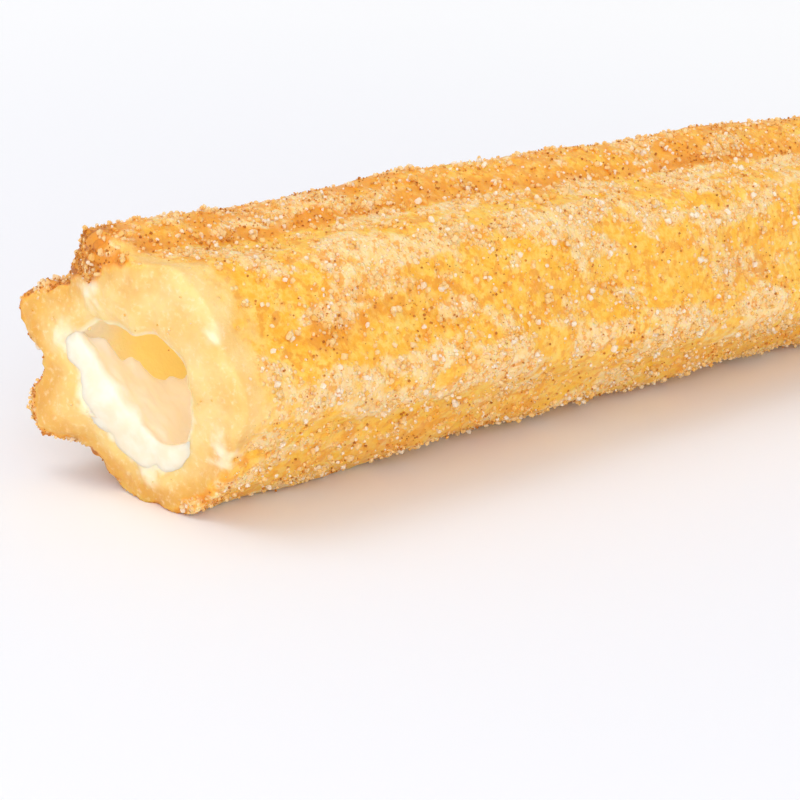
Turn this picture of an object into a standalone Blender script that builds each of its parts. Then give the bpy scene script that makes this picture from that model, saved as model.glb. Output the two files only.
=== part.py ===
"""A cream-filled churro rolled in cinnamon sugar, cut at both ends and lying on its side.

Metres, +Z up. The churro lies along X. The cut end with the open hollow is at -X, and the side with
the broad low ridges faces -Y. The origin is at the middle of the footprint, on the resting surface.
The shape functions work in the churro's own frame, whose X axis is the middle of the dough.
"""
import math
import random

import bmesh
import bpy
import numpy as np
from mathutils import Matrix, Vector

MM = 0.001

# Dough tube
LENGTH = 120 * MM
TWIST_PER_METRE = math.radians(200)
SWELLING = 0.01                      # extra radius at mid length, as a share
BEND_Y = -0.3 * MM                   # the axis bows forward and up at mid length
BEND_Z = 0.9 * MM                    # so it rests near its two ends
WAVE_HEIGHT = 0.3 * MM               # slow unevenness along the ridges
WAVE_LENGTHS = (47 * MM, 26 * MM)

# Round the section at the open end, from the back over the top: angle in degrees, radius in mm,
# how far the cut stands back from its middle plane in mm (less than 0 stands out), and the radius
# of the hollow's mouth in mm, with soft dough that hangs from its roof
SECTION = (
    (15, 14.3, -2.5, 7.8),           # pointed ridge at the back
    (43, 10.8, -1.6, 7.1),
    (69, 13.6, -2.4, 5.9),           # browned ridge at the top
    (97, 11.6, -2.2, 5.2),
    (120, 12.8, -0.5, 6.4),          # broad upper ridge of the front
    (152, 12.1, 1.0, 7.1),
    (181, 13.7, 1.9, 6.9),           # broad lower ridge of the front
    (204, 12.5, 2.8, 7.2),
    (229, 13.3, 3.4, 7.8),
    (250, 13.8, 2.6, 7.9),           # broad low ridge that it rests on
    (277, 13.1, 2.2, 7.3),
    (303, 11.3, 0.5, 6.3),
    (328, 13.9, -2.5, 5.8),          # blunt ridge at the lower back
    (352, 10.5, -2.1, 5.9),
)
RADIUS_COLUMN = 1
CUT_COLUMN = 2
MOUTH_COLUMN = 3

# Cuts
CUT_FADE = 14 * MM                   # how far from an end the slant of its cut still pulls the dough
INNER_CUT_SHARE = 0.6                # slant at the hollow's rim against that at the outer rim
FAR_SLANT = 1.4 * MM
FAR_SLANT_ANGLE = math.radians(40)
FAR_RAGGED = 0.5 * MM
EDGE_ROUND = 0.7 * MM
# Cut face from its outer rim to the hollow: set-back as a share of EDGE_ROUND, and share of the wall
FACE_PROFILE = ((0.25, 0.92), (0, 0.72), (0, 0.3), (0.25, 0.07))

# Hollow through the dough, and the cream in it
BORE_RADIUS = 7.5 * MM
BORE_Z = -0.9 * MM
BORE_UNEVEN = 0.25 * MM
MOUTH_FADE = 7 * MM                  # how far inside the mouth's shape has given way to the plain hollow
CREAM_GAP = 0.3 * MM
CREAM_LIP = 0.3 * MM                 # the cream's nearest point behind the cut
LUMP_HEIGHT = 0.35 * MM
LUMP_SIZE = 4.2 * MM

# The empty place in the cream at the open end is a squarish egg shape, so that the cream slopes down
# inward and forward from the hollow's back wall
SCOOP_CENTRE = (7.9 * MM, -2.5 * MM, 4.2 * MM)
SCOOP_HALF_SIZES = (11.1 * MM, 10.0 * MM, 10.7 * MM)
SCOOP_SLOPE = math.radians(29.5)
SCOOP_ROLL = math.radians(34.8)
SCOOP_SQUARENESS = 4                 # 2 would be a plain egg shape

# Flat spots that it rests on, and the place of the churro's own frame in the world
AXIS_HEIGHT = 12.8 * MM
AXIS_START_X = -59.6 * MM
AXIS_Y = 0.2 * MM

# Sugar grains that show from a step away
GRAIN_COUNT = 150
GRAIN_TRIES = 4000
GRAIN_RADIUS = (0.5 * MM, 0.8 * MM)
GRAIN_SPACING = 4.6 * MM
GRAIN_SUNK = 0.3                     # share of its radius that a grain's middle lies outside the dough
GRAIN_STRETCH = (0.8, 1.3)
GRAIN_END_MARGIN = 5 * MM
GRAIN_FLOOR_MARGIN = 1.6 * MM
GRAIN_SEED = 7

# Mesh density
SIDES = 58
OUTER_ROWS = 28
BORE_ROWS = 12                       # these and the cream's crowd towards the open end
CREAM_SIDES = 30
CREAM_ROWS = 14
SHARP_ANGLE = math.radians(35)


def section_value(angle, column):
    """A column of SECTION at any angle, with rounded crests and furrows."""
    angles = [row[0] for row in SECTION]
    values = [row[column] for row in SECTION]
    knots = np.array([angles[-1] - 360] + angles + [angles[0] + 360])
    levels = np.array([values[-1]] + values + [values[0]])
    degrees = np.degrees(angle) % 360
    place = np.searchsorted(knots, degrees, side="right") - 1
    share = (degrees - knots[place]) / (knots[place + 1] - knots[place])
    weight = 0.5 - 0.5 * np.cos(np.pi * share)
    return (levels[place] * (1 - weight) + levels[place + 1] * weight) * MM


def middle_share(x):
    """0 at both ends and 1 at mid length."""
    return 1 - (2 * x / LENGTH - 1) ** 2


def outer_radius(x, angle):
    """Radius of the ridged outside."""
    ridges = section_value(angle - TWIST_PER_METRE * x, RADIUS_COLUMN)
    long_wave = np.sin(2 * np.pi * x / WAVE_LENGTHS[0] + angle + 0.9)
    short_wave = np.sin(2 * np.pi * x / WAVE_LENGTHS[1] + 3 * angle + 2.1)
    waves = WAVE_HEIGHT * (0.6 * long_wave + 0.4 * short_wave)
    return ridges * (1 + SWELLING * middle_share(x)) + waves


def bore_radius(x, angle):
    """Radius of the hollow round its own middle."""
    uneven = BORE_UNEVEN * np.sin(2 * np.pi * x / WAVE_LENGTHS[0] + 2 * angle)
    mouth_share = np.exp(-(x / MOUTH_FADE) ** 2)
    return (BORE_RADIUS + uneven) * (1 - mouth_share) + section_value(angle, MOUTH_COLUMN) * mouth_share


def near_cut(angle):
    """How far the open end's cut stands back."""
    return section_value(angle, CUT_COLUMN)


def far_slant(angle):
    """How far the other end's slanted cut stands out."""
    return FAR_SLANT * np.cos(angle - FAR_SLANT_ANGLE)


def far_ragged(angle):
    """Torn crust round the other end's rim."""
    return FAR_RAGGED * (np.sin(5 * angle + 0.4) + 0.6 * np.sin(9 * angle + 1.9))


def cut_shift(x, angle, wall_share):
    """Slides a point along the churro so that the ends get their slanted, uneven cuts."""
    slant_share = INNER_CUT_SHARE + (1 - INNER_CUT_SHARE) * wall_share
    near = slant_share * near_cut(angle)
    far = slant_share * far_slant(angle) + wall_share * far_ragged(angle)
    near_weight = np.clip(1 - x / CUT_FADE, 0, 1) ** 2
    far_weight = np.clip(1 - (LENGTH - x) / CUT_FADE, 0, 1) ** 2
    return near * near_weight + far * far_weight


def dough_points(x, angle, wall_share):
    """Points of the dough: wall_share is 0 on the hollow's wall and 1 on the outside."""
    outer = outer_radius(x, angle)
    bore = bore_radius(x, angle)
    y = bore * np.cos(angle) * (1 - wall_share) + outer * np.cos(angle) * wall_share
    z = (bore * np.sin(angle) + BORE_Z) * (1 - wall_share) + outer * np.sin(angle) * wall_share
    bow = middle_share(x)
    return np.stack([x + cut_shift(x, angle, wall_share), y + BEND_Y * bow, z + BEND_Z * bow], axis=-1)


def lumps(first, second, phase):
    """Soft lumps of a cream surface, from two distances along it."""
    wave = 2 * np.pi / LUMP_SIZE
    return LUMP_HEIGHT * np.sin(wave * first + 1.3 * phase) * np.sin(0.8 * wave * second + phase)


def cream_points(share_along, angle, share_across):
    """Points of the cream: 0 to 1 along the hollow, and 0 to 1 from its middle to its wall."""
    guess = share_along * LENGTH
    radius = share_across * (bore_radius(guess, angle) - CREAM_GAP)
    y = radius * np.cos(angle)
    z = radius * np.sin(angle) + BORE_Z
    soft_edge = 1 - share_across ** 4
    front = CREAM_LIP + (LUMP_HEIGHT + lumps(y, z, 0.7)) * soft_edge
    front = front + INNER_CUT_SHARE * near_cut(angle) * share_across
    back = LENGTH - CREAM_LIP - (LUMP_HEIGHT + lumps(y, z, 2.6)) * soft_edge
    back = back + INNER_CUT_SHARE * far_slant(angle) * share_across
    x = front + (back - front) * share_along
    radius = share_across * (bore_radius(x, angle) - CREAM_GAP)
    bow = middle_share(x)
    y = radius * np.cos(angle) + BEND_Y * bow
    z = radius * np.sin(angle) + BORE_Z + BEND_Z * bow
    return np.stack([x, y, z], axis=-1)


def to_world(points):
    """From the churro's own frame to the world."""
    return points + np.array([AXIS_START_X, AXIS_Y, AXIS_HEIGHT])


def dough_profile():
    """Closed profile of the tube as pairs of x and wall_share, along the outside and back inside."""
    outside = [(x, 1.0) for x in np.linspace(EDGE_ROUND, LENGTH - EDGE_ROUND, OUTER_ROWS)]
    depth = LENGTH - 2 * EDGE_ROUND
    inside = [(EDGE_ROUND + depth * share ** 2, 0.0) for share in np.linspace(1, 0, BORE_ROWS)]
    far_face = [(LENGTH - setback * EDGE_ROUND, share) for setback, share in FACE_PROFILE]
    near_face = [(LENGTH - x, share) for x, share in reversed(far_face)]
    return outside + far_face + inside + near_face


def cream_profile():
    """Open profile of the rod as pairs of share_along and share_across, from middle to middle."""
    across = [0.0, 0.3, 0.6, 0.85]
    front = [(0.0, share) for share in across]
    side = [(0.004 + 0.992 * share ** 2, 1.0) for share in np.linspace(0, 1, CREAM_ROWS)]
    back = [(1.0, share) for share in reversed(across)]
    return front + side + back


def spin_profile(profile, closed, sides):
    """A profile of (x, radius) pairs turned round the X axis, as a bmesh."""
    body = bmesh.new()
    corners = [body.verts.new((x, radius, 0)) for x, radius in profile]
    edges = [body.edges.new(pair) for pair in zip(corners, corners[1:])]
    if closed:
        edges.append(body.edges.new((corners[-1], corners[0])))
    bmesh.ops.spin(
        body,
        geom=corners + edges,
        cent=(0, 0, 0),
        axis=(1, 0, 0),
        angle=2 * math.pi,
        steps=sides,
        use_merge=True,
    )
    bmesh.ops.remove_doubles(body, verts=body.verts, dist=0.00001)
    return body


def finish_mesh(body, name, material, collection):
    """Turns a bmesh into a smooth object with its faces pointing out."""
    bmesh.ops.recalc_face_normals(body, faces=body.faces)
    mesh = bpy.data.meshes.new(name)
    body.to_mesh(mesh)
    body.free()
    mesh.shade_smooth()
    mesh.materials.append(material)
    piece = bpy.data.objects.new(name, mesh)
    collection.objects.link(piece)
    return piece


def make_material(name, color, roughness):
    material = bpy.data.materials.new(name)
    material.use_nodes = True
    shader = material.node_tree.nodes["Principled BSDF"]
    shader.inputs["Base Color"].default_value = (*color, 1)
    shader.inputs["Roughness"].default_value = roughness
    shader.inputs["Metallic"].default_value = 0
    return material


def make_collection(name):
    collection = bpy.data.collections.new(name)
    bpy.context.scene.collection.children.link(collection)
    return collection


def make_dough(collection, material):
    """The ridged tube, before the flat spots and the grains."""
    body = spin_profile([(x, 1 + share) for x, share in dough_profile()], True, SIDES)
    for corner in body.verts:
        angle = math.atan2(corner.co.z, corner.co.y)
        wall_share = math.hypot(corner.co.y, corner.co.z) - 1
        twisted = angle + TWIST_PER_METRE * corner.co.x
        corner.co = to_world(dough_points(corner.co.x, twisted, wall_share))
    return finish_mesh(body, "dough", material, collection)


def make_cream(collection, material):
    """The cream that fills the hollow from cut to cut."""
    body = spin_profile(cream_profile(), False, CREAM_SIDES)
    for corner in body.verts:
        angle = math.atan2(corner.co.z, corner.co.y)
        share_across = math.hypot(corner.co.y, corner.co.z)
        corner.co = to_world(cream_points(corner.co.x, angle, share_across))
    return finish_mesh(body, "cream", material, collection)


def make_scoop_cutter(collection):
    """The lumpy, squarish egg shape that is missing from the cream at the open end."""
    body = bmesh.new()
    bmesh.ops.create_icosphere(body, subdivisions=3, radius=1)
    for corner in body.verts:
        unit = corner.co.copy()
        stretch = sum(abs(share) ** SCOOP_SQUARENESS for share in unit) ** (-1 / SCOOP_SQUARENESS)
        corner.co = unit * stretch * Vector(SCOOP_HALF_SIZES)
        corner.co += unit * lumps(corner.co.x, corner.co.y, 1.8)
    turn = Matrix.Rotation(SCOOP_SLOPE, 4, "Y") @ Matrix.Rotation(SCOOP_ROLL, 4, "X")
    place = Matrix.Translation(to_world(np.array(SCOOP_CENTRE))) @ turn
    bmesh.ops.transform(body, matrix=place, verts=body.verts)
    mesh = bpy.data.meshes.new("scoop_cutter")
    body.to_mesh(mesh)
    body.free()
    scoop = bpy.data.objects.new("scoop_cutter", mesh)
    scoop.hide_render = True
    scoop.display_type = "WIRE"
    collection.objects.link(scoop)
    return scoop


def make_floor_cutter(collection):
    """A block whose top is the resting surface."""
    bpy.ops.mesh.primitive_cube_add(size=1)
    block = bpy.context.object
    block.name = "floor_cutter"
    block.scale = (2 * LENGTH, LENGTH, LENGTH)
    block.location = (0, 0, -LENGTH / 2)
    for old in block.users_collection:
        old.objects.unlink(block)
    collection.objects.link(block)
    block.hide_render = True
    block.display_type = "WIRE"
    return block


def grain_places(rng):
    """Evenly spread places on the outside: x, angle and point."""
    places = []
    for _ in range(GRAIN_TRIES):
        x = rng.uniform(GRAIN_END_MARGIN, LENGTH - GRAIN_END_MARGIN)
        angle = rng.uniform(0, 2 * math.pi)
        point = to_world(dough_points(x, angle, 1.0))
        too_low = point[2] < GRAIN_FLOOR_MARGIN
        crowded = any(np.linalg.norm(point - other) < GRAIN_SPACING for _, _, other in places)
        if not too_low and not crowded:
            places.append((x, angle, point))
        if len(places) == GRAIN_COUNT:
            break
    return places


def make_grains(collection):
    """Sugar grains half sunk in the outside."""
    rng = random.Random(GRAIN_SEED)
    for number, (x, angle, point) in enumerate(grain_places(rng)):
        radius = rng.uniform(*GRAIN_RADIUS)
        body = bmesh.new()
        bmesh.ops.create_icosphere(body, subdivisions=1, radius=radius)
        mesh = bpy.data.meshes.new("grain")
        body.to_mesh(mesh)
        body.free()
        grain = bpy.data.objects.new(f"grain_{number:03d}", mesh)
        out = np.array([0, math.cos(angle), math.sin(angle)])
        grain.location = point + out * radius * GRAIN_SUNK
        grain.rotation_euler = [rng.uniform(0, math.pi) for _ in range(3)]
        grain.scale = [rng.uniform(*GRAIN_STRETCH) for _ in range(3)]
        collection.objects.link(grain)


def cut_away(piece, cutter):
    cut = piece.modifiers.new(cutter.name, "BOOLEAN")
    cut.operation = "DIFFERENCE"
    cut.object = cutter


def fuse_grains(dough, grains):
    """Joins the grains to the dough in one union, applies it and removes the loose grains."""
    union = dough.modifiers.new("grains", "BOOLEAN")
    union.operation = "UNION"
    union.operand_type = "COLLECTION"
    union.collection = grains
    depsgraph = bpy.context.evaluated_depsgraph_get()
    joined = bpy.data.meshes.new_from_object(dough.evaluated_get(depsgraph))
    joined.name = "dough"
    joined.set_sharp_from_angle(angle=SHARP_ANGLE)
    dough.modifiers.clear()
    dough.data = joined
    for grain in list(grains.objects):
        bpy.data.objects.remove(grain, do_unlink=True)
    bpy.data.collections.remove(grains)


def main():
    for old in list(bpy.data.objects):
        bpy.data.objects.remove(old, do_unlink=True)
    churro = make_collection("churro")
    cutters = make_collection("cutters")
    grains = make_collection("grains")
    fried = make_material("fried_dough", (0.83, 0.47, 0.11), 0.6)
    filling = make_material("white_cream", (0.94, 0.91, 0.83), 0.35)
    dough = make_dough(churro, fried)
    cream = make_cream(churro, filling)
    cut_away(cream, make_scoop_cutter(cutters))
    cut_away(dough, make_floor_cutter(cutters))
    make_grains(grains)
    fuse_grains(dough, grains)


main()
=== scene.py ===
"""The looks of the churro: fried dough, cream, sugar and cinnamon, with the camera, floor and light.

Metres, +Z up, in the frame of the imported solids. The shape functions repeat those of the solids, in
the churro's own frame, whose X axis is the middle of the dough.
"""
import math
import random

import bmesh
import bpy
import numpy as np
from mathutils import Matrix, Vector, noise


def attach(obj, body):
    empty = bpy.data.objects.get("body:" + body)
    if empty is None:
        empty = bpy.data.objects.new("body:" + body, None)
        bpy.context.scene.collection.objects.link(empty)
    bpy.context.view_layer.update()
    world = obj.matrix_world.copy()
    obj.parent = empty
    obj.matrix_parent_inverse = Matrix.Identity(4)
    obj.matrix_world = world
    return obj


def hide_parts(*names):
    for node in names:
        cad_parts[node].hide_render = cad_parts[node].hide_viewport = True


MM = 0.001

# Sizes of the solids
LENGTH = 120 * MM
TWIST_PER_METRE = math.radians(200)
SWELLING = 0.01
BEND_Y = -0.3 * MM
BEND_Z = 0.9 * MM
WAVE_HEIGHT = 0.3 * MM
WAVE_LENGTHS = (47 * MM, 26 * MM)
# Angle in degrees, then in mm: radius, set-back of the open end's cut, and radius of the hollow's mouth
SECTION = (
    (15, 14.3, -2.5, 7.8),
    (43, 10.8, -1.6, 7.1),
    (69, 13.6, -2.4, 5.9),
    (97, 11.6, -2.2, 5.2),
    (120, 12.8, -0.5, 6.4),
    (152, 12.1, 1.0, 7.1),
    (181, 13.7, 1.9, 6.9),
    (204, 12.5, 2.8, 7.2),
    (229, 13.3, 3.4, 7.8),
    (250, 13.8, 2.6, 7.9),
    (277, 13.1, 2.2, 7.3),
    (303, 11.3, 0.5, 6.3),
    (328, 13.9, -2.5, 5.8),
    (352, 10.5, -2.1, 5.9),
)
CUT_FADE = 14 * MM
INNER_CUT_SHARE = 0.6
FAR_SLANT = 1.4 * MM
FAR_SLANT_ANGLE = math.radians(40)
FAR_RAGGED = 0.5 * MM
EDGE_ROUND = 0.7 * MM
BORE_RADIUS = 7.5 * MM
BORE_Z = -0.9 * MM
BORE_UNEVEN = 0.25 * MM
MOUTH_FADE = 7 * MM
LUMP_HEIGHT = 0.35 * MM
LUMP_SIZE = 4.2 * MM
SCOOP_CENTRE = (7.9 * MM, -2.5 * MM, 4.2 * MM)
SCOOP_HALF_SIZES = (11.1 * MM, 10.0 * MM, 10.7 * MM)
SCOOP_SLOPE = math.radians(29.5)
SCOOP_ROLL = math.radians(34.8)
SCOOP_SQUARENESS = 4
AXIS_HEIGHT = 12.8 * MM
AXIS_START_X = -59.6 * MM
AXIS_Y = 0.2 * MM

# Large sugar grains, in the places that they have on the solid
GRAIN_COUNT = 150
GRAIN_TRIES = 4000
GRAIN_RADIUS = (0.5 * MM, 0.8 * MM)
GRAIN_SPACING = 4.6 * MM
GRAIN_SUNK = 0.3
GRAIN_STRETCH = (0.8, 1.3)
GRAIN_END_MARGIN = 5 * MM
GRAIN_FLOOR_MARGIN = 1.6 * MM
GRAIN_SEED = 7

# Fineness of the dough's mesh
SIDES = 220
OUTER_ROWS = 300
FACE_ROWS = 22
OPEN_BORE_ROWS = 44
OPEN_BORE_LENGTH = 18 * MM
HIDDEN_BORE_ROWS = 8
FACE_FLATNESS = 5                    # power that keeps a cut face flat up to its rounded rims

# The crust round the section. Angle in degrees, browning, sugar, browning of the open end's rim, share
# of the open end's face that is pale crumb, and how far in mm the crumb runs round onto the outside
CRUST = (
    (15, 0.5, 0.5, 0.8, 0.8, 0.3),
    (43, 0.7, 0.25, 0.7, 0.82, 0.3),
    (69, 0.62, 0.28, 0.9, 0.35, 0.3),
    (82, 0.52, 0.36, 0.6, 0.6, 1.0),
    (91, 0.75, 0.1, 0.5, 0.75, 2.0),
    (99, 0.05, 0.95, 0.3, 0.88, 3.0),
    (107, 0.35, 0.35, 0.2, 0.95, 4.0),
    (120, 0.1, 0.65, 0.1, 1.0, 5.5),
    (152, 0.34, 0.26, 0.0, 1.0, 6.5),
    (181, 0.05, 0.75, 0.0, 1.0, 6.0),
    (206, 0.32, 0.12, 0.1, 1.0, 2.5),
    (222, 0.3, 0.35, 0.5, 0.75, 0.4),
    (236, 0.45, 0.3, 0.6, 0.75, 0.4),
    (253, 0.4, 0.35, 0.6, 0.8, 0.3),
    (277, 0.5, 0.4, 0.6, 0.82, 0.3),
    (303, 0.7, 0.25, 0.5, 0.85, 0.3),
    (325, 0.4, 0.6, 0.5, 0.78, 0.3),
    (352, 0.7, 0.25, 0.6, 0.85, 0.3),
)
RIM_BROWN_REACH = 5 * MM
FAR_CRUMB_SHARE = 0.86
FAR_CRUMB_REACH = 0.6 * MM
PALE_LIT_ANGLE = 150                     # the crumb is palest round this angle, the lit side, and golden on the other side, partly its own colour and partly painted shade
PALE_LIT_HALF_ANGLE = 60
FAR_GOLDEN = 0.5                     # how golden the other end's crumb is all round
WALL_DEPTH = (2 * MM, 8 * MM)        # where the hollow's wall turns from crumb to deep yellow
SMEARS = (                           # cream smeared on the face: angle, share of the wall, half width in mm
    (19, 0.02, 1.7),
    (60, 0.35, 1.5),
    (146, 0.97, 1.3),
    (203, 0.75, 1.6),
    (206, 1.0, 1.4),
    (262, 0.12, 1.6),
)
CREAMY_RIM_ANGLE = 270               # cream also clings to the mouth's rim, most round this angle
CREAMY_RIM_HALF_ANGLE = 100
CREAMY_RIM_SHARE = 0.16              # how far across the wall it reaches
SMEAR_COVER = 0.8                    # how much of the dough's colour the cream hides where it is smeared
SMEAR_RAGGED = 0.4
SMEAR_RAG_SIZE = 1.2 * MM
FILM_UNEVEN = 0.5                    # how patchy the film of sugar is
BROWN_UNEVEN = 0.18                  # how patchy the browning is
MOST_BROWNED = 1.6

# Relief of the crust and of the cut faces
LENGTHWISE = (0.45, 1, 1)            # humps are about twice as long as they are wide
SOFT_SIZE = 5 * MM
SOFT_HEIGHT = 0.14 * MM
CRUST_SIZE = 1.4 * MM
CRUST_HEIGHT = 0.09 * MM
FILM_SIZE = 3.2 * MM
FILM_HEIGHT = 0.08 * MM
FACE_SIZE = 2.4 * MM
FACE_HEIGHT = 0.13 * MM
WALL_HEIGHT = 0.1 * MM
TORN_SIZE = 1.6 * MM                 # torn rims of the cuts
TORN_HEIGHT = 0.3 * MM
TORN_REACH = 1.5 * MM
SMEAR_HEIGHT = 0.2 * MM

# Cream
CREAM_REACH = 1.1 * MM               # how far the cream runs into the dough
CREAM_SIDES = 96
CREAM_ROWS = 150
CREAM_ACROSS = 16
NO_AREA = 1e-12                      # square metres
CREAM_WELD = 0.01 * MM               # corners closer than this become one
SCOOP_TIGHTER = 0.4 * MM             # how much smaller all round the scoop is than in the solid, whose
                                     # thin edges the smoothing below would take off the wall
CREAM_VOXEL = 0.36 * MM
CREAM_SMOOTHING = 34
CREAM_PAINTED_LIGHT_DEPTHS = (-0.3 * MM, 3 * MM)     # from the front of the cream to its deeper inside, which is painted lighter and given a painted glow
FAR_CREAM_DEPTH = 1.6 * MM           # the cream of the other end's cut is painted as light as cream this deep
CURD_SIZE = 2.4 * MM
CURD_HEIGHT = 0.15 * MM

# Sugar and cinnamon: how many, and their sizes
LUMP_CRYSTALS = 8                    # crystals in each of the largest sugar lumps
LUMP_SPREAD = 0.55                   # how far they lie from its middle, as a share of its radius
LUMP_CRYSTAL_SHARE = (0.6, 0.9)      # how large they are, as a share of its radius
CRYSTAL_COUNT = 3000
CRYSTAL_SIZE = (0.35 * MM, 0.75 * MM)
SUGAR_COUNT = 7500
SUGAR_SIZE = (0.3 * MM, 0.6 * MM)
DUST_COUNT = 5500
DUST_SIZE = (0.14 * MM, 0.32 * MM)
DUST_EVERYWHERE = 0.05               # how thick the dust lies even where there is no other sugar
CINNAMON_COUNT = 8000
CINNAMON_SIZE = (0.08 * MM, 0.26 * MM)
BLOCK_SIZE = 0.8                     # of grains that are blocks, as shares of a grain's size
BLOCK_BEVEL = 0.17
SCATTER_STRETCH = (0.7, 1.25)
SCATTER_JITTER = 0.2                 # how uneven each grain is
SCATTER_SEED = 21
SUGAR_CLUMP_SIZE = 2.4 * MM
CINNAMON_CLUMP_SIZE = 5 * MM
BARE_HEIGHT = (0.4 * MM, 1.6 * MM)   # the toppings begin between these heights over the floor

# Patches in the materials
PATCH_SIZE = 3.5 * MM
MOTTLE_SIZE = 1.1 * MM
SPOT_SIZE = 0.8 * MM
MELTED_SIZE = 1.8 * MM
FLECK_SIZE = 1.1 * MM
FINE_SUGAR_SIZE = 0.5 * MM
GRIT_SIZE = 0.4 * MM
CRUMB_PATCH_SIZE = 1.6 * MM
FIBRE_SIZE = 0.6 * MM
CREAM_PATCH_SIZE = 2.0 * MM
CREAM_RIPPLE_SIZE = 0.7 * MM

# Colours. Two in a row are those of neighbouring patches or grains
AMBER = ((0.93, 0.43, 0.015), (0.96, 0.50, 0.03))
GOLDEN = ((0.97, 0.56, 0.06), (0.98, 0.66, 0.16))
BROWN = (0.82, 0.29, 0.015)
DARK_BROWN = (0.42, 0.12, 0.01)
SUGAR_FILM = (0.97, 0.56, 0.11)
MELTED_SUGAR = ((0.97, 0.62, 0.24), (0.98, 0.74, 0.42))
FLECKS = (0.85, 0.34, 0.02)
FINE_SUGAR = (0.98, 0.76, 0.48)
GOLDEN_CRUMB = ((0.74, 0.36, 0.055), (0.82, 0.47, 0.09))
PALE_CRUMB = ((0.86, 0.55, 0.17), (0.90, 0.66, 0.27))
CRUMB_FIBRES = (0.96, 0.80, 0.50)
HOLLOW_WALL = (0.99, 0.79, 0.32)
# painted glow deep in the hollow, standing in for light through its wall
HOLLOW_PAINTED_GLOW = (1.0, 0.6, 0.07)
SMEARED_CREAM = (0.97, 0.88, 0.66)
# painted light on the cream: darker at the front, lighter and glowing deep in the hollow where it lies in
# shade
FRONT_CREAM_PAINTED_DARKER = ((0.90, 0.82, 0.66), (0.88, 0.76, 0.56))
INNER_CREAM_PAINTED_LIGHTER = ((0.98, 0.94, 0.87), (0.98, 0.92, 0.82))
CREAM_PAINTED_GLOW = (1.0, 0.8, 0.65)
AMBER_SUGAR = ((0.97, 0.55, 0.11), (0.99, 0.72, 0.34))
WHITE_SUGAR = (1.0, 0.90, 0.74)
CINNAMON = ((0.66, 0.26, 0.03), (0.40, 0.12, 0.01))
# painted shade on the floor round the churro, and the floor further out
NEAR_FLOOR_PAINTED_SHADE = (0.905, 0.905, 0.95)
FAR_FLOOR = (0.99, 0.99, 1.0)
WHITE = (1.0, 1.0, 1.0)
STUDIO = (0.985, 0.99, 1.0)

# Camera and light
CAMERA_PLACE = (-209.2 * MM, -172.4 * MM, 89.1 * MM)
CAMERA_HEADING = math.radians(42.8)  # direction of view round +Z, from +X
CAMERA_DOWN = math.radians(18.6)
CAMERA_ROLL = math.radians(5.05)
SENSOR_WIDTH = 36
LENS = 117
FLOOR_HALF_SIZE = 5
FLOOR_DROP = 0.02 * MM               # keeps the floor clear of the churro's underside
FLOOR_SHADE_FADES = (0.03, 0.3)         # distances from the middle over which the painted shade round the churro gives way to the lighter floor
FLOOR_GLOWS = (0.4, 3.0)             # and over which it comes to glow
WORLD_LIGHT = 0.72
LAMP_SIZE = 1.6
WINDOW_PLACE = (-0.9, 0.7, 2.2)
WINDOW_POWER = 16.5
FILL_PLACE = (-1.55, -1.6, 0.85)
FILL_POWER = 25


def around(table, angle, column):
    """A column of a table at any angle, with rounded highs and lows between its rows."""
    angles = [row[0] for row in table]
    values = [row[column] for row in table]
    knots = np.array([angles[-1] - 360] + angles + [angles[0] + 360])
    levels = np.array([values[-1]] + values + [values[0]])
    degrees = np.degrees(angle) % 360
    place = np.searchsorted(knots, degrees, side="right") - 1
    share = (degrees - knots[place]) / (knots[place + 1] - knots[place])
    weight = 0.5 - 0.5 * np.cos(np.pi * share)
    return levels[place] * (1 - weight) + levels[place + 1] * weight


def middle_share(x):
    """0 at both ends and 1 at mid length."""
    return 1 - (2 * x / LENGTH - 1) ** 2


def outer_radius(x, angle):
    """Radius of the ridged outside."""
    ridges = around(SECTION, angle - TWIST_PER_METRE * x, 1) * MM
    long_wave = np.sin(2 * np.pi * x / WAVE_LENGTHS[0] + angle + 0.9)
    short_wave = np.sin(2 * np.pi * x / WAVE_LENGTHS[1] + 3 * angle + 2.1)
    waves = WAVE_HEIGHT * (0.6 * long_wave + 0.4 * short_wave)
    return ridges * (1 + SWELLING * middle_share(x)) + waves


def bore_radius(x, angle):
    """Radius of the hollow round its own middle."""
    uneven = BORE_UNEVEN * np.sin(2 * np.pi * x / WAVE_LENGTHS[0] + 2 * angle)
    mouth_share = np.exp(-(x / MOUTH_FADE) ** 2)
    return (BORE_RADIUS + uneven) * (1 - mouth_share) + around(SECTION, angle, 3) * MM * mouth_share


def near_cut(angle):
    """How far the open end's cut stands back."""
    return around(SECTION, angle, 2) * MM


def far_slant(angle):
    """How far the other end's slanted cut stands out."""
    return FAR_SLANT * np.cos(angle - FAR_SLANT_ANGLE)


def far_ragged(angle):
    """Torn crust round the other end's rim."""
    return FAR_RAGGED * (np.sin(5 * angle + 0.4) + 0.6 * np.sin(9 * angle + 1.9))


def cut_shift(x, angle, wall_share):
    """Slides a point along the churro so that the ends get their slanted, uneven cuts."""
    slant_share = INNER_CUT_SHARE + (1 - INNER_CUT_SHARE) * wall_share
    near = slant_share * near_cut(angle)
    far = slant_share * far_slant(angle) + wall_share * far_ragged(angle)
    near_weight = np.clip(1 - x / CUT_FADE, 0, 1) ** 2
    far_weight = np.clip(1 - (LENGTH - x) / CUT_FADE, 0, 1) ** 2
    return near * near_weight + far * far_weight


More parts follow.
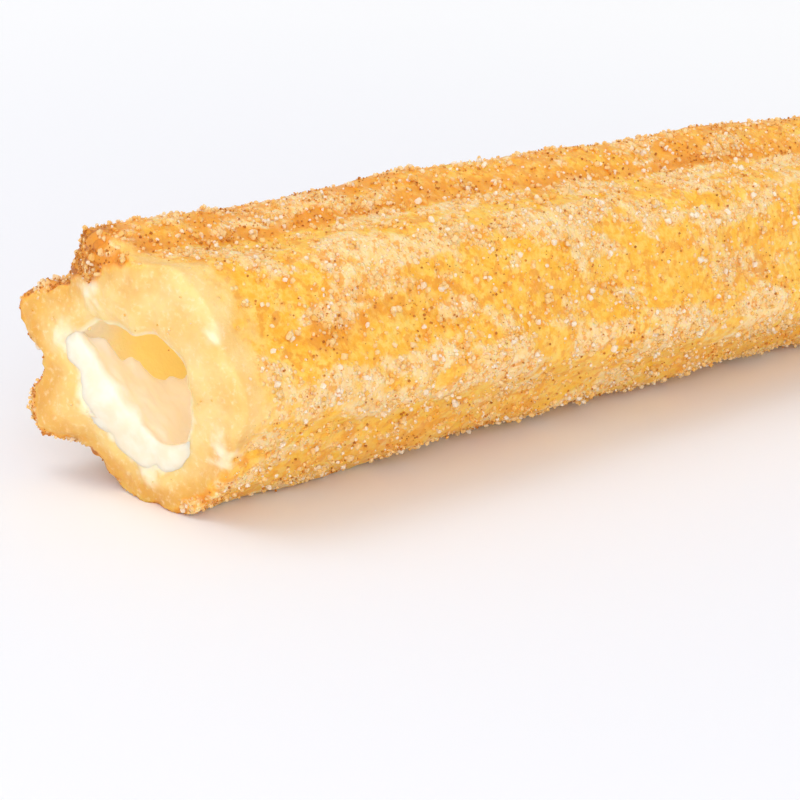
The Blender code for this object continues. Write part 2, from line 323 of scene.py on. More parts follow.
def dough_points(x, angle, wall_share):
    """Points of the dough: wall_share is 0 on the hollow's wall and 1 on the outside."""
    outer = outer_radius(x, angle)
    bore = bore_radius(x, angle)
    y = bore * np.cos(angle) * (1 - wall_share) + outer * np.cos(angle) * wall_share
    z = (bore * np.sin(angle) + BORE_Z) * (1 - wall_share) + outer * np.sin(angle) * wall_share
    bow = middle_share(x)
    return np.stack([x + cut_shift(x, angle, wall_share), y + BEND_Y * bow, z + BEND_Z * bow], axis=-1)


def lumps(first, second, phase):
    """Soft lumps of a cream surface, from two distances along it."""
    wave = 2 * np.pi / LUMP_SIZE
    return LUMP_HEIGHT * np.sin(wave * first + 1.3 * phase) * np.sin(0.8 * wave * second + phase)


def cream_points(share_along, angle, share_across):
    """Points of the cream: 0 to 1 along the hollow, and 0 to 1 from its middle to its wall."""
    guess = share_along * LENGTH
    radius = share_across * (bore_radius(guess, angle) + CREAM_REACH)
    y = radius * np.cos(angle)
    z = radius * np.sin(angle) + BORE_Z
    soft_edge = 1 - share_across ** 4
    front = (LUMP_HEIGHT + lumps(y, z, 0.7)) * soft_edge
    front = front + INNER_CUT_SHARE * near_cut(angle) * share_across
    back = LENGTH - (LUMP_HEIGHT + lumps(y, z, 2.6)) * soft_edge
    back = back + INNER_CUT_SHARE * far_slant(angle) * share_across
    x = front + (back - front) * share_along
    radius = share_across * (bore_radius(x, angle) + CREAM_REACH)
    bow = middle_share(x)
    y = radius * np.cos(angle) + BEND_Y * bow
    z = radius * np.sin(angle) + BORE_Z + BEND_Z * bow
    return np.stack([x, y, z], axis=-1)


def to_world(points):
    """From the churro's own frame to the world."""
    return points + np.array([AXIS_START_X, AXIS_Y, AXIS_HEIGHT])


def bumps(points, size, octaves=1, shift=0.0, stretch=(1, 1, 1)):
    """Smooth noise of about -1 to 1, with humps about size apart; each shift gives other humps."""
    places = (points.reshape(-1, 3) * np.array(stretch) / size + shift).tolist()
    values = [noise.fractal(place, 1.0, 2.0, octaves) for place in places]
    return 2 * np.array(values).reshape(points.shape[:-1])


def hump(value, middle, half_width):
    """1 at the middle, falling smoothly to 0 beyond it."""
    return np.exp(-((value - middle) / half_width) ** 2)


def smooth_step(low, high, value):
    """0 below low and 1 above high, with a smooth rise between them."""
    share = np.clip((value - low) / (high - low), 0, 1)
    return share * share * (3 - 2 * share)


def dough_rows():
    """Rows of the tube as x and wall_share, along the outside and back through the hollow."""
    far_edge = LENGTH - EDGE_ROUND
    outside = np.linspace(EDGE_ROUND, far_edge, OUTER_ROWS)
    across = np.linspace(1, 0, FACE_ROWS + 2)[1:-1]
    rounding = EDGE_ROUND * np.abs(2 * across - 1) ** FACE_FLATNESS
    hidden = np.linspace(far_edge, OPEN_BORE_LENGTH, HIDDEN_BORE_ROWS)
    shown = np.linspace(OPEN_BORE_LENGTH, EDGE_ROUND, OPEN_BORE_ROWS + 1)[1:]
    inside = np.concatenate([hidden, shown])
    x = np.concatenate([outside, LENGTH - rounding, inside, rounding])
    wall_share = np.concatenate([np.ones(OUTER_ROWS), across, np.zeros(len(inside)), across[::-1]])
    return x, wall_share


def grid_normals(points):
    """Outward directions on a grid of points that closes on itself both ways."""
    along = np.roll(points, -1, axis=0) - np.roll(points, 1, axis=0)
    round_it = np.roll(points, -1, axis=1) - np.roll(points, 1, axis=1)
    normals = np.cross(round_it, along)
    return normals / np.linalg.norm(normals, axis=-1, keepdims=True)


def crumb_share(x, section_angle, wall_share, torn):
    """1 where the pale crumb of a cut shows, 0 on the fried crust."""
    near_end = x < LENGTH / 2
    face_edge = np.where(near_end, around(CRUST, section_angle, 4), FAR_CRUMB_SHARE) + 0.04 * torn
    on_face = 1 - smooth_step(0, 0.1, wall_share - face_edge)
    reach = np.where(near_end, around(CRUST, section_angle, 5) * MM, FAR_CRUMB_REACH) * (1 + 0.25 * torn)
    on_outside = 1 - smooth_step(0.3, 1.0, np.minimum(x, LENGTH - x) / reach)
    return np.where(wall_share < 1, on_face, on_outside)


def smear_share(points, x, section_angle, wall_share):
    """How far cream that is smeared at the open end hides the dough, from 0 to SMEAR_COVER."""
    ragged = SMEAR_RAGGED * bumps(points, SMEAR_RAG_SIZE, 2, 0.8)
    off_middle = np.abs((np.degrees(section_angle) - CREAMY_RIM_ANGLE + 180) % 360 - 180)
    reach = CREAMY_RIM_SHARE * hump(off_middle, 0, CREAMY_RIM_HALF_ANGLE) * (1 + ragged)
    on_rim = 1 - smooth_step(0.3, 1.1, wall_share / reach)
    smeared = SMEAR_COVER * on_rim * (1 - smooth_step(*WALL_DEPTH, x))
    for degrees, place_share, half_width in SMEARS:
        middle = dough_points(0.0, math.radians(degrees), place_share)
        away = np.linalg.norm(points - middle, axis=-1) / (half_width * MM)
        smeared = np.maximum(smeared, SMEAR_COVER * (1 - smooth_step(0.0, 1.3, away + ragged)))
    return smeared


def dough_shares(points, x, section_angle, wall_share, torn):
    """Named shares at the dough's points, such as how browned it is."""
    crumb = crumb_share(x, section_angle, wall_share, torn)
    crust = 1 - crumb
    # golden on the side away from the light: partly the crumb's own colour, partly painted shade
    golden_shaded_side = 1 - hump(np.degrees(section_angle), PALE_LIT_ANGLE, PALE_LIT_HALF_ANGLE)
    pale = 1 - smooth_step(0.1, 0.8, wall_share) * np.where(x < LENGTH / 2, golden_shaded_side, FAR_GOLDEN)
    sugar_patches = bumps(points, FILM_SIZE, 3, 5.3, LENGTHWISE)
    film = smooth_step(0.2, 0.9, around(CRUST, section_angle, 2) + FILM_UNEVEN * sugar_patches) * crust
    rim = (1 - smooth_step(0.2, 1.0, x / RIM_BROWN_REACH)) * around(CRUST, section_angle, 3)
    brown_patches = bumps(points, SOFT_SIZE, 3, 9.1, LENGTHWISE)
    browned = around(CRUST, section_angle, 1) + BROWN_UNEVEN * brown_patches
    return {
        "browned": np.clip(browned + rim, 0, MOST_BROWNED) * crust,
        "film": film,
        "crumb": crumb,
        "pale": pale,
        "smeared": smear_share(points, x, section_angle, wall_share),
        "wall": (wall_share == 0) * smooth_step(*WALL_DEPTH, x),
    }


def dough_relief(points, x, wall_share, torn, shares):
    """How far the uneven surface stands out from the dough's plain shape."""
    outside = wall_share == 1
    inside = wall_share == 0
    from_end = np.minimum(x, LENGTH - x)
    rim_share = np.where(outside, hump(from_end, 0, TORN_REACH), smooth_step(0.7, 1, wall_share))
    relief = SOFT_HEIGHT * bumps(points, SOFT_SIZE, 1, 2.2, LENGTHWISE) * outside
    relief = relief + CRUST_HEIGHT * bumps(points, CRUST_SIZE, 3, 7.7) * (1 - shares["crumb"])
    relief = relief + FILM_HEIGHT * shares["film"] + SMEAR_HEIGHT * shares["smeared"]
    relief = relief + TORN_HEIGHT * torn * rim_share * (1 - shares["pale"])
    relief = relief + FACE_HEIGHT * bumps(points, FACE_SIZE, 3, 3.9) * (1 - outside) * (1 - inside)
    return relief + WALL_HEIGHT * bumps(points, FACE_SIZE, 2, 8.3) * inside


def dough_surface():
    """The dough's points, outward directions and named shares."""
    x, wall_share = dough_rows()
    section_angle = np.linspace(0, 2 * np.pi, SIDES, endpoint=False)
    x, wall_share, section_angle = np.broadcast_arrays(x[:, None], wall_share[:, None], section_angle)
    points = dough_points(x, section_angle + TWIST_PER_METRE * x, wall_share)
    torn = bumps(points, TORN_SIZE, 3, 6.1)
    shares = dough_shares(points, x, section_angle, wall_share, torn)
    relief = dough_relief(points, x, wall_share, torn, shares)
    points = to_world(points + relief[..., None] * grid_normals(points))
    points[..., 2] = np.maximum(points[..., 2], 0)
    return points, grid_normals(points), shares


def grid_mesh(name, points):
    """A mesh of quads from a grid of points that closes on itself both ways."""
    rows, sides = points.shape[:2]
    index = np.arange(rows * sides).reshape(rows, sides)
    above = np.roll(index, -1, axis=0)
    quads = np.stack([index, np.roll(index, -1, axis=1), np.roll(above, -1, axis=1), above], axis=-1)
    mesh = bpy.data.meshes.new(name)
    mesh.from_pydata(points.reshape(-1, 3).tolist(), [], quads.reshape(-1, 4).tolist())
    mesh.update()
    mesh.shade_smooth()
    return mesh


def add_piece(name, mesh, material):
    """An object that rides on the churro."""
    mesh.materials.append(material)
    piece = bpy.data.objects.new(name, mesh)
    bpy.context.scene.collection.objects.link(piece)
    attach(piece, "root")
    return piece


def make_dough(surface, material):
    """The fried dough, with its uneven crust and torn cut faces."""
    points, _, shares = surface
    mesh = grid_mesh("fried_dough", points)
    for name, values in shares.items():
        layer = mesh.attributes.new(name, "FLOAT", "POINT")
        layer.data.foreach_set("value", values.astype(np.float32).ravel())
    piece = add_piece("fried_dough", mesh, material)
    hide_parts("dough")


def make_cream_rod():
    """The cream from cut to cut, before the empty place is taken out of it.

    The grid's last row would join its first by faces without area along the middle. They are deleted.
    """
    across = np.linspace(0, 1, CREAM_ACROSS)
    along = np.linspace(0, 1, CREAM_ROWS)[1:-1]
    share_along = np.concatenate([np.zeros(CREAM_ACROSS), along, np.ones(CREAM_ACROSS)])[:, None]
    share_across = np.concatenate([across, np.ones(len(along)), across[::-1]])[:, None]
    angle = np.linspace(0, 2 * np.pi, CREAM_SIDES, endpoint=False)[None, :]
    points = cream_points(*np.broadcast_arrays(share_along, angle, share_across))
    mesh = grid_mesh("cream_rod", to_world(points))
    body = bmesh.new()
    body.from_mesh(mesh)
    inner = [face for face in body.faces if face.calc_area() < NO_AREA]
    bmesh.ops.delete(body, geom=inner, context="FACES_ONLY")
    bmesh.ops.remove_doubles(body, verts=body.verts, dist=CREAM_WELD)
    body.to_mesh(mesh)
    body.free()
    return bpy.data.objects.new("cream_rod", mesh)


def make_scoop():
    """The lumpy, squarish egg shape that is missing from the cream at the open end."""
    body = bmesh.new()
    bmesh.ops.create_icosphere(body, subdivisions=5, radius=1)
    for corner in body.verts:
        unit = corner.co.copy()
        stretch = sum(abs(share) ** SCOOP_SQUARENESS for share in unit) ** (-1 / SCOOP_SQUARENESS)
        corner.co = unit * stretch * Vector(SCOOP_HALF_SIZES)
        corner.co += unit * (lumps(corner.co.x, corner.co.y, 1.8) - SCOOP_TIGHTER)
    turn = Matrix.Rotation(SCOOP_SLOPE, 4, "Y") @ Matrix.Rotation(SCOOP_ROLL, 4, "X")
    place = Matrix.Translation(to_world(np.array(SCOOP_CENTRE))) @ turn
    bmesh.ops.transform(body, matrix=place, verts=body.verts)
    mesh = bpy.data.meshes.new("scoop")
    body.to_mesh(mesh)
    body.free()
    return bpy.data.objects.new("scoop", mesh)


def make_cream(material):
    """Whipped cream with a hollow scooped out at the open end."""
    rod = make_cream_rod()
    scoop = make_scoop()
    for piece in (rod, scoop):
        bpy.context.scene.collection.objects.link(piece)
    cut = rod.modifiers.new("scoop", "BOOLEAN")
    cut.operation = "DIFFERENCE"
    cut.object = scoop
    remesh = rod.modifiers.new("remesh", "REMESH")
    remesh.mode = "VOXEL"
    remesh.voxel_size = CREAM_VOXEL
    soften = rod.modifiers.new("soften", "SMOOTH")
    soften.iterations = CREAM_SMOOTHING
    depsgraph = bpy.context.evaluated_depsgraph_get()
    mesh = bpy.data.meshes.new_from_object(rod.evaluated_get(depsgraph))
    for piece in (rod, scoop):
        bpy.data.objects.remove(piece, do_unlink=True)
    keep_largest_body(mesh)
    add_curds(mesh)
    mesh.name = "whipped_cream"
    mesh.materials.clear()
    mesh.shade_smooth()
    piece = add_piece("whipped_cream", mesh, material)
    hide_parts("cream")


def keep_largest_body(mesh):
    """Deletes the slivers that a cut has left beside a mesh's main body."""
    body = bmesh.new()
    body.from_mesh(mesh)
    unseen = set(body.verts)
    groups = []
    while unseen:
        waiting = [unseen.pop()]
        group = set(waiting)
        while waiting:
            corner = waiting.pop()
            found = {edge.other_vert(corner) for edge in corner.link_edges} & unseen
            unseen -= found
            group |= found
            waiting.extend(found)
        groups.append(group)
    main = max(groups, key=len)
    slivers = [corner for corner in body.verts if corner not in main]
    bmesh.ops.delete(body, geom=slivers, context="VERTS")
    body.to_mesh(mesh)
    body.free()


def cream_depth(points):
    """How far points lie behind the nearer cut, and FAR_CREAM_DEPTH more at the other end's cut."""
    x, y, z = (points - np.array([AXIS_START_X, AXIS_Y, AXIS_HEIGHT + BORE_Z])).T
    angle = np.arctan2(z, y)
    share_across = np.hypot(y, z) / bore_radius(0.0, angle)
    front = INNER_CUT_SHARE * near_cut(angle) * share_across
    back = LENGTH + INNER_CUT_SHARE * far_slant(angle) * share_across
    return np.minimum(x - front, back - x + FAR_CREAM_DEPTH)


def add_curds(mesh):
    """Small soft lumps all over a cream mesh, and how deep each point lies."""
    count = len(mesh.vertices)
    points = np.empty(count * 3, np.float32)
    normals = np.empty(count * 3, np.float32)
    mesh.vertices.foreach_get("co", points)
    mesh.vertex_normals.foreach_get("vector", normals)
    points = points.reshape(-1, 3).astype(float)
    height = CURD_HEIGHT * bumps(points, CURD_SIZE, 2, 4.4)
    points = points + height[:, None] * normals.reshape(-1, 3)
    mesh.vertices.foreach_set("co", points.astype(np.float32).ravel())
    # the depth sets where the cream is painted lighter and glows
    deep = mesh.attributes.new("deep", "FLOAT", "POINT")
    deep.data.foreach_set("value", smooth_step(*CREAM_PAINTED_LIGHT_DEPTHS, cream_depth(points)).astype(np.float32))
    mesh.update()


def grain_places(rng):
    """The large grains' places on the outside: x, angle and point in the world."""
    places = []
    for _ in range(GRAIN_TRIES):
        x = rng.uniform(GRAIN_END_MARGIN, LENGTH - GRAIN_END_MARGIN)
        angle = rng.uniform(0, 2 * math.pi)
        point = to_world(dough_points(x, angle, 1.0))
        too_low = point[2] < GRAIN_FLOOR_MARGIN
        crowded = any(np.linalg.norm(point - other) < GRAIN_SPACING for _, _, other in places)
        if not too_low and not crowded:
            places.append((x, angle, point))
        if len(places) == GRAIN_COUNT:
            break
    return places


def base_shape(kind):
    """Corners and triangles of a grain about 1 across: a ball, a bevelled block or a plain block.

    A bevel gives its faces in another order each run, so the triangles are sorted.
    """
    body = bmesh.new()
    if kind == "ball":
        bmesh.ops.create_icosphere(body, subdivisions=1, radius=0.5)
    else:
        bmesh.ops.create_cube(body, size=BLOCK_SIZE)
    if kind == "bevelled":
        bmesh.ops.bevel(body, geom=body.edges, offset=BLOCK_BEVEL, segments=1, affect="EDGES")
    bmesh.ops.triangulate(body, faces=body.faces)
    body.verts.index_update()
    corners = np.array([corner.co[:] for corner in body.verts])
    triangles = np.array(sorted([corner.index for corner in face.verts] for face in body.faces))
    body.free()
    return corners, triangles


def random_turns(count, rng):
    """Random rotation matrices."""
    q = rng.normal(size=(count, 4))
    w, x, y, z = (q / np.linalg.norm(q, axis=1, keepdims=True)).T
    rows = (
        (1 - 2 * (y * y + z * z), 2 * (x * y - w * z), 2 * (x * z + w * y)),
        (2 * (x * y + w * z), 1 - 2 * (x * x + z * z), 2 * (y * z - w * x)),
        (2 * (x * z - w * y), 2 * (y * z + w * x), 1 - 2 * (x * x + y * y)),
    )
    return np.array(rows).transpose(2, 0, 1)


def scatter_mesh(name, kind, centres, sizes, stretch, rng):
    """One mesh of many grains above the floor, each a jittered and turned copy of a base shape."""
    corners, triangles = base_shape(kind)
    count = len(centres)
    shaped = corners[None] * (1 + SCATTER_JITTER * rng.uniform(-1, 1, (count, len(corners), 1)))
    shaped = shaped * rng.uniform(*stretch, (count, 1, 3)) * sizes[:, None, None]
    turned = np.einsum("nij,nkj->nki", random_turns(count, rng), shaped)
    points = turned + centres[:, None, :]
    points[..., 2] += np.maximum(-points[..., 2].min(axis=1), 0)[:, None]
    faces = triangles[None] + len(corners) * np.arange(count)[:, None, None]
    mesh = bpy.data.meshes.new(name)
    mesh.from_pydata(points.reshape(-1, 3).tolist(), [], faces.reshape(-1, 3).tolist())
    tint = mesh.attributes.new("tint", "FLOAT", "POINT")
    tint.data.foreach_set("value", np.repeat(rng.random(count), len(corners)).astype(np.float32))
    mesh.update()
    return mesh


def pick_places(surface, density, count, rng):
    """Random places on the dough, more where the density is high: points and outward directions."""
    points, normals, _ = surface
    next_row = np.roll(points, -1, axis=0)
    next_side = np.roll(points, -1, axis=1)
    area = np.linalg.norm(np.cross(next_row - points, next_side - points), axis=-1)
    weight = (area * density).ravel()
    cells = rng.choice(weight.size, count, p=weight / weight.sum())
    row, side = np.divmod(cells, SIDES)
    along = rng.random((count, 1))
    across = rng.random((count, 1))
    start = points[row, side]
    steps = next_row[row, side] - start, next_side[row, side] - start
    return start + along * steps[0] + across * steps[1], normals[row, side]


def sugar_density(surface):
    """How thick the sugar lies: most on the film, least on the crumb, none under the churro."""
    points, _, shares = surface
    clumps = smooth_step(-0.5, 0.9, bumps(points, SUGAR_CLUMP_SIZE, 2, 6.6))
    on_crust = (1 - shares["crumb"]) ** 2 * (0.25 + 0.75 * shares["film"] + 0.35 * shares["browned"])
    return on_crust * (0.2 + 0.8 * clumps) * smooth_step(*BARE_HEIGHT, points[..., 2])


def cinnamon_density(surface):
    """How thick the cinnamon lies: most where the crust is brown, none under the churro."""
    points, _, shares = surface
    clumps = smooth_step(-0.3, 0.8, bumps(points, CINNAMON_CLUMP_SIZE, 2, 1.9))
    on_crust = (1 - shares["crumb"]) * (0.15 + 1.2 * shares["browned"] ** 2)
    return on_crust * (0.3 + 0.7 * clumps) * smooth_step(*BARE_HEIGHT, points[..., 2])


def scatter(name, kind, count, size_range, height_share, surface, density, material, rng):
    """A piece of many grains that stand in the surface by a share of their size."""
    places, outward = pick_places(surface, density, count, rng)
    spread = rng.random(count) ** 2
    sizes = size_range[0] + (size_range[1] - size_range[0]) * spread
    lift = rng.uniform(*height_share, count) * sizes
    centres = places + outward * lift[:, None]
    add_piece(name, scatter_mesh(name, kind, centres, sizes, SCATTER_STRETCH, rng), material)


def make_lumps(material, rng):
    """The largest sugar lumps, each of several crystals, where the solid has its grains."""
    draws = random.Random(GRAIN_SEED)
    places = grain_places(draws)
    outward = np.array([(0, math.cos(angle), math.sin(angle)) for _, angle, _ in places])
    middles = np.array([point for _, _, point in places])
    radius = rng.uniform(*GRAIN_RADIUS, len(places))
    middles = middles + outward * (radius * GRAIN_SUNK)[:, None]
    centres = np.repeat(middles, LUMP_CRYSTALS, axis=0)
    radii = np.repeat(radius, LUMP_CRYSTALS)
    centres = centres + rng.uniform(-LUMP_SPREAD, LUMP_SPREAD, centres.shape) * radii[:, None]
    sizes = radii * rng.uniform(*LUMP_CRYSTAL_SHARE, len(radii))
    mesh = scatter_mesh("sugar_lumps", "bevelled", centres, sizes, GRAIN_STRETCH, rng)
    add_piece("sugar_lumps", mesh, material)


def new_material(name):
    """A new material's node tree and its Principled shader."""
    material = bpy.data.materials.new(name)
    material.use_nodes = True
    return material, material.node_tree, material.node_tree.nodes["Principled BSDF"]


def add_node(tree, kind, inputs=None, **settings):
    """A shader node, with its inputs given as values or as other nodes' sockets."""
    made = tree.nodes.new(kind)
    for name, value in settings.items():
        setattr(made, name, value)
    for name, value in (inputs or {}).items():
        if isinstance(value, bpy.types.NodeSocket):
            tree.links.new(value, made.inputs[name])
        else:
            made.inputs[name].default_value = value
    return made


def mixed(tree, share, first, second):
    """A colour between two colours; 0, 6 and 7 are the mix node's share and its two colours."""
    made = add_node(tree, "ShaderNodeMix", data_type="RGBA")
    for slot, value in ((0, share), (6, first), (7, second)):
        if isinstance(value, bpy.types.NodeSocket):
            tree.links.new(value, made.inputs[slot])
        else:
            made.inputs[slot].default_value = value if slot == 0 else (*value, 1)
    return made.outputs[2]


def calculated(tree, operation, first, second):
    """The result of one sum, such as ADD or MULTIPLY, on two values or sockets."""
    return add_node(tree, "ShaderNodeMath", {0: first, 1: second}, operation=operation).outputs[0]


def limited(tree, value, low, high):
    """0 below low and 1 above high, with a smooth rise between them."""
    inputs = {"Value": value, "From Min": low, "From Max": high}
    return add_node(tree, "ShaderNodeMapRange", inputs, interpolation_type="SMOOTHSTEP").outputs["Result"]


def noise_of(tree, size, detail, roughness=0.55):
    """Noise from 0 to 1 with patches about size wide, fixed to the piece."""
    place = add_node(tree, "ShaderNodeTexCoord").outputs["Object"]
    inputs = {"Vector": place, "Scale": 1 / size, "Detail": detail, "Roughness": roughness}
    return add_node(tree, "ShaderNodeTexNoise", inputs).outputs["Fac"]


def attribute_of(tree, name):
    """A share that the mesh's points carry."""
    return add_node(tree, "ShaderNodeAttribute", attribute_name=name).outputs["Fac"]


def crystals_of(tree, size, share):
    """1 in the middles of small cells, in more of the cells where the share is high."""
    place = add_node(tree, "ShaderNodeTexCoord").outputs["Object"]
    cells = add_node(tree, "ShaderNodeTexVoronoi", {"Vector": place, "Scale": 1 / size})
    draw = add_node(tree, "ShaderNodeSeparateColor", {"Color": cells.outputs["Color"]}).outputs["Red"]
    wanted = calculated(tree, "ADD", draw, calculated(tree, "MULTIPLY", share, 0.8))
    chosen = limited(tree, wanted, 0.95, 1.15)
    edge = limited(tree, cells.outputs["Distance"], 0.25, 0.5)
    return calculated(tree, "MULTIPLY", chosen, calculated(tree, "SUBTRACT", 1.0, edge))


def set_scatter(shader, weight, radius, scale):
    """Light that spreads under the surface."""
    shader.inputs["Subsurface Weight"].default_value = weight
    shader.inputs["Subsurface Radius"].default_value = radius
    shader.inputs["Subsurface Scale"].default_value = scale


def set_painted_glow(tree, shader, share, color, strength):
    """A painted glow where the share is 1: light of the surface's own, standing in for light such as
    daylight that comes through it.
    """
    shader.inputs["Emission Color"].default_value = (*color, 1)
    tree.links.new(calculated(tree, "MULTIPLY", share, strength), shader.inputs["Emission Strength"])


def add_bump(tree, shader, height, distance):
    """Relief that is too fine for the mesh."""
    bump = add_node(tree, "ShaderNodeBump", {"Height": height, "Distance": distance, "Strength": 1.0})
    tree.links.new(bump.outputs["Normal"], shader.inputs["Normal"])


def melted_share(tree, film):
    """1 in the blots of melted sugar on the crust, which are largest where the film of sugar is thick."""
    on_crust = calculated(tree, "SUBTRACT", 1.0, attribute_of(tree, "crumb"))
    thick = calculated(tree, "MULTIPLY", film, 0.3)
    blots = calculated(tree, "ADD", thick, noise_of(tree, MELTED_SIZE, 6, 0.62))
    return calculated(tree, "MULTIPLY", limited(tree, blots, 0.56, 0.8), on_crust)


def crust_color(tree, patches, film, melted, crystals):
    """Amber and golden patches, browned in the furrows, under melted sugar, flecks and fine sugar."""
    mottle = noise_of(tree, MOTTLE_SIZE, 4, 0.65)
    spots = limited(tree, noise_of(tree, SPOT_SIZE, 4, 0.7), 0.36, 0.64)
    color = mixed(tree, spots, mixed(tree, patches, *AMBER), mixed(tree, patches, *GOLDEN))
    browning = calculated(tree, "ADD", attribute_of(tree, "browned"), mottle)
    color = mixed(tree, limited(tree, browning, 0.7, 1.5), color, BROWN)
    color = mixed(tree, limited(tree, browning, 1.3, 2.0), color, DARK_BROWN)
    sugared = limited(tree, calculated(tree, "ADD", film, mottle), 0.8, 1.7)
    color = mixed(tree, sugared, color, SUGAR_FILM)
    covered = calculated(tree, "MULTIPLY", melted, 0.85)
    color = mixed(tree, covered, color, mixed(tree, spots, *MELTED_SUGAR))
    browner = calculated(tree, "MULTIPLY", browning, 0.12)
    flecks = calculated(tree, "ADD", browner, noise_of(tree, FLECK_SIZE, 3))
    flecks = calculated(tree, "MULTIPLY", limited(tree, flecks, 0.62, 0.72), 0.75)
    color = mixed(tree, flecks, color, FLECKS)
    return mixed(tree, calculated(tree, "MULTIPLY", crystals, 0.6), color, FINE_SUGAR)


def crumb_color(tree, patches):
    """Golden and pale crumb with light fibres."""
    blend = calculated(tree, "ADD", attribute_of(tree, "pale"), noise_of(tree, CRUMB_PATCH_SIZE, 4))
    golden = mixed(tree, patches, *GOLDEN_CRUMB)
    pale = mixed(tree, patches, *PALE_CRUMB)
    color = mixed(tree, limited(tree, blend, 0.45, 1.45), golden, pale)
    fibres = limited(tree, noise_of(tree, FIBRE_SIZE, 5, 0.65), 0.5, 0.75)
    return mixed(tree, calculated(tree, "MULTIPLY", fibres, 0.5), color, CRUMB_FIBRES)


def dough_material():
    """Fried dough: sugared crust outside, crumb on the cuts, and a painted glow on the hollow's wall that
    stands in for daylight through it.
    """
    material, tree, shader = new_material("fried_dough")
    patches = limited(tree, noise_of(tree, PATCH_SIZE, 3), 0.3, 0.7)
    film = attribute_of(tree, "film")
    wall = attribute_of(tree, "wall")
    melted = melted_share(tree, film)
    crystals = crystals_of(tree, FINE_SUGAR_SIZE, film)
    color = crust_color(tree, patches, film, melted, crystals)
    color = mixed(tree, attribute_of(tree, "crumb"), color, crumb_color(tree, patches))
    color = mixed(tree, wall, color, HOLLOW_WALL)
    color = mixed(tree, attribute_of(tree, "smeared"), color, SMEARED_CREAM)
    tree.links.new(color, shader.inputs["Base Color"])
    shader.inputs["Roughness"].default_value = 0.42
    set_scatter(shader, 0.5, (1.6, 0.8, 0.25), 1.5 * MM)
    # painted glow deep in the hollow's wall, standing in for daylight through the dough
    set_painted_glow(tree, shader, wall, HOLLOW_PAINTED_GLOW, 0.13)
    fine_sugar = calculated(tree, "MULTIPLY", crystals, 1.3)
    grit = calculated(tree, "ADD", noise_of(tree, GRIT_SIZE, 3), fine_sugar)
    grit = calculated(tree, "ADD", grit, calculated(tree, "MULTIPLY", melted, 0.8))
    add_bump(tree, shader, grit, 0.07 * MM)
    return material


def cream_material():
    """Moist whipped cream, painted darker at the front and painted lighter, with a painted glow, inside the
    hollow where it lies in shade.
    """
    material, tree, shader = new_material("white_cream")
    patches = limited(tree, noise_of(tree, CREAM_PATCH_SIZE, 3), 0.35, 0.65)
    deep = attribute_of(tree, "deep")
    # painted light: the front is painted darker and the deep cream lighter
    color = mixed(tree, deep, mixed(tree, patches, *FRONT_CREAM_PAINTED_DARKER), mixed(tree, patches, *INNER_CREAM_PAINTED_LIGHTER))
    tree.links.new(color, shader.inputs["Base Color"])
    shader.inputs["Roughness"].default_value = 0.28
    set_scatter(shader, 0.6, (1.2, 1.0, 0.85), 2.0 * MM)
    # painted glow of the deep cream
    set_painted_glow(tree, shader, deep, CREAM_PAINTED_GLOW, 0.16)
    add_bump(tree, shader, noise_of(tree, CREAM_RIPPLE_SIZE, 3), 0.05 * MM)
    return material


def sugar_material():
    """Half clear sugar, from amber grains to a few bright white ones."""
    material, tree, shader = new_material("sugar")
    tint = attribute_of(tree, "tint")
    amber = mixed(tree, limited(tree, tint, 0.0, 0.7), *AMBER_SUGAR)
    color = mixed(tree, limited(tree, tint, 0.72, 0.95), amber, WHITE_SUGAR)
    tree.links.new(color, shader.inputs["Base Color"])
    shader.inputs["Alpha"].default_value = 0.68
    shader.inputs["Roughness"].default_value = 0.3
    return material


def cinnamon_material():
    """Dull specks, from rust red to dark brown."""
    material, tree, shader = new_material("cinnamon")
    color = mixed(tree, attribute_of(tree, "tint"), *CINNAMON)
    tree.links.new(color, shader.inputs["Base Color"])
    shader.inputs["Roughness"].default_value = 0.75
    return material


def make_floor():
    """A pale floor with painted shade round the churro and a painted glow that keeps it bright where the
    lamps don't reach.
    """
    mesh = bpy.data.meshes.new("floor")
    half = FLOOR_HALF_SIZE
    corners = [(-half, -half, 0), (half, -half, 0), (half, half, 0), (-half, half, 0)]
    mesh.from_pydata(corners, [], [(0, 1, 2, 3)])
    material, tree, shader = new_material("floor")
    place = add_node(tree, "ShaderNodeTexCoord").outputs["Object"]
    distance = add_node(tree, "ShaderNodeVectorMath", {0: place}, operation="LENGTH").outputs["Value"]
    # painted shade round the churro, fading outward
    color = mixed(tree, limited(tree, distance, *FLOOR_SHADE_FADES), NEAR_FLOOR_PAINTED_SHADE, FAR_FLOOR)
    tree.links.new(color, shader.inputs["Base Color"])
    shader.inputs["Roughness"].default_value = 0.6
    # painted glow far out, where the lamps don't reach
    set_painted_glow(tree, shader, limited(tree, distance, *FLOOR_GLOWS), WHITE, 0.3)
    mesh.materials.append(material)
    floor = bpy.data.objects.new("floor", mesh)
    floor.location.z = -FLOOR_DROP
    bpy.context.scene.collection.objects.link(floor)


def make_area_light(name, place, power):
    """A square soft light that faces the churro."""
    light = bpy.data.lights.new(name, "AREA")
    light.size = LAMP_SIZE
    light.energy = power
    lamp = bpy.data.objects.new(name, light)
    lamp.location = place
    lamp.rotation_euler = (-Vector(place)).to_track_quat("-Z", "Y").to_euler()
    lamp.visible_camera = False
    bpy.context.scene.collection.objects.link(lamp)


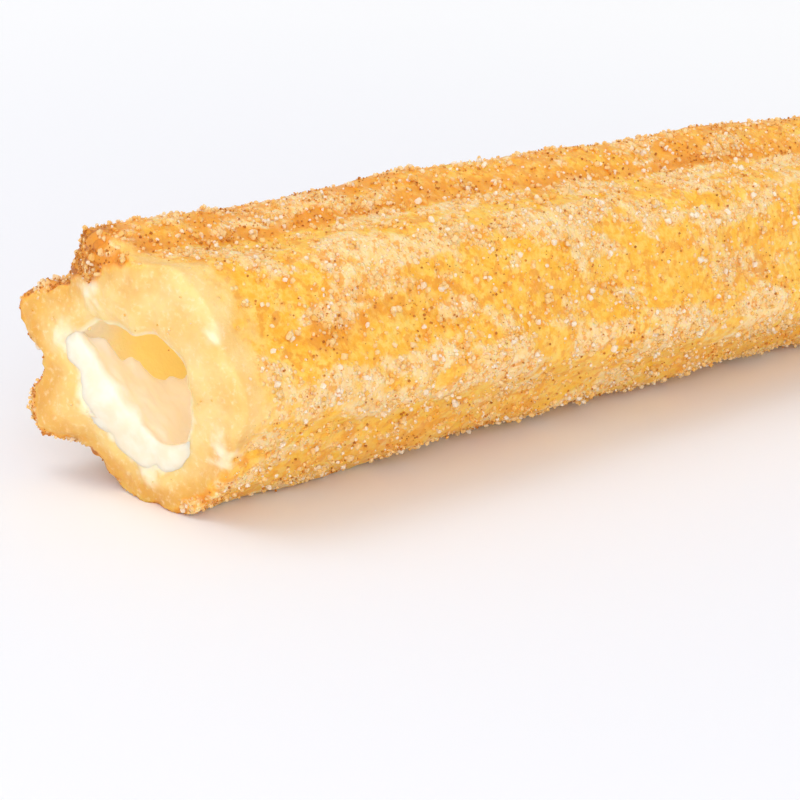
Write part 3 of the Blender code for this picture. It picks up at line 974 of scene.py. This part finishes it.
def make_light():
    """Bright, soft studio light from all round, with a window above and a broad fill from the front."""
    world = bpy.data.worlds.new("studio")
    world.use_nodes = True
    tree = world.node_tree
    background = tree.nodes["Background"]
    background.inputs["Color"].default_value = (*STUDIO, 1)
    seen = add_node(tree, "ShaderNodeLightPath").outputs["Is Camera Ray"]
    strength = calculated(tree, "ADD", calculated(tree, "MULTIPLY", seen, 1 - WORLD_LIGHT), WORLD_LIGHT)
    tree.links.new(strength, background.inputs["Strength"])
    bpy.context.scene.world = world
    make_area_light("window", WINDOW_PLACE, WINDOW_POWER)
    make_area_light("fill", FILL_PLACE, FILL_POWER)
    bpy.context.scene.view_settings.view_transform = "Standard"


def make_camera():
    """The photograph's viewpoint."""
    data = bpy.data.cameras.new("camera")
    data.sensor_width = SENSOR_WIDTH
    data.lens = LENS
    camera = bpy.data.objects.new("camera", data)
    level = math.cos(CAMERA_DOWN)
    forward = Vector(
        (level * math.cos(CAMERA_HEADING), level * math.sin(CAMERA_HEADING), -math.sin(CAMERA_DOWN))
    )
    upright = forward.to_track_quat("-Z", "Y").to_matrix().to_4x4()
    roll = Matrix.Rotation(CAMERA_ROLL, 4, "Z")
    camera.matrix_world = Matrix.Translation(CAMERA_PLACE) @ upright @ roll
    bpy.context.scene.collection.objects.link(camera)
    bpy.context.scene.camera = camera


def make_toppings(surface):
    """Sugar in three sizes and cinnamon, each kind in a piece of its own."""
    rng = np.random.default_rng(SCATTER_SEED)
    sugar = sugar_material()
    cinnamon = cinnamon_material()
    sugared = sugar_density(surface)
    spiced = cinnamon_density(surface)
    make_lumps(sugar, rng)
    kinds = (
        ("sugar_crystals", "bevelled", CRYSTAL_COUNT, CRYSTAL_SIZE, (0.0, 0.35), sugared, sugar),
        ("sugar_grains", "ball", SUGAR_COUNT, SUGAR_SIZE, (0.0, 0.4), sugared, sugar),
        ("sugar_dust", "block", DUST_COUNT, DUST_SIZE, (0.0, 0.5), sugared + DUST_EVERYWHERE, sugar),
        ("cinnamon", "block", CINNAMON_COUNT, CINNAMON_SIZE, (0.1, 0.5), spiced, cinnamon),
    )
    for name, shape, count, sizes, height_share, density, material in kinds:
        scatter(name, shape, count, sizes, height_share, surface, density, material, rng)


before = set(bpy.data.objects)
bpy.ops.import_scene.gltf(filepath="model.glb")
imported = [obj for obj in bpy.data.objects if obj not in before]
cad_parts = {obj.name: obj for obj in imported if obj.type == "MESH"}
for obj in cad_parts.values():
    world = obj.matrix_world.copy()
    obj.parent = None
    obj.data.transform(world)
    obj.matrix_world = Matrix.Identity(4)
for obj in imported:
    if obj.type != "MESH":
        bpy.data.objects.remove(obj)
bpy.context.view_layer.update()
make_camera()
make_floor()
make_light()
surface = dough_surface()
make_dough(surface, dough_material())
make_cream(cream_material())
make_toppings(surface)
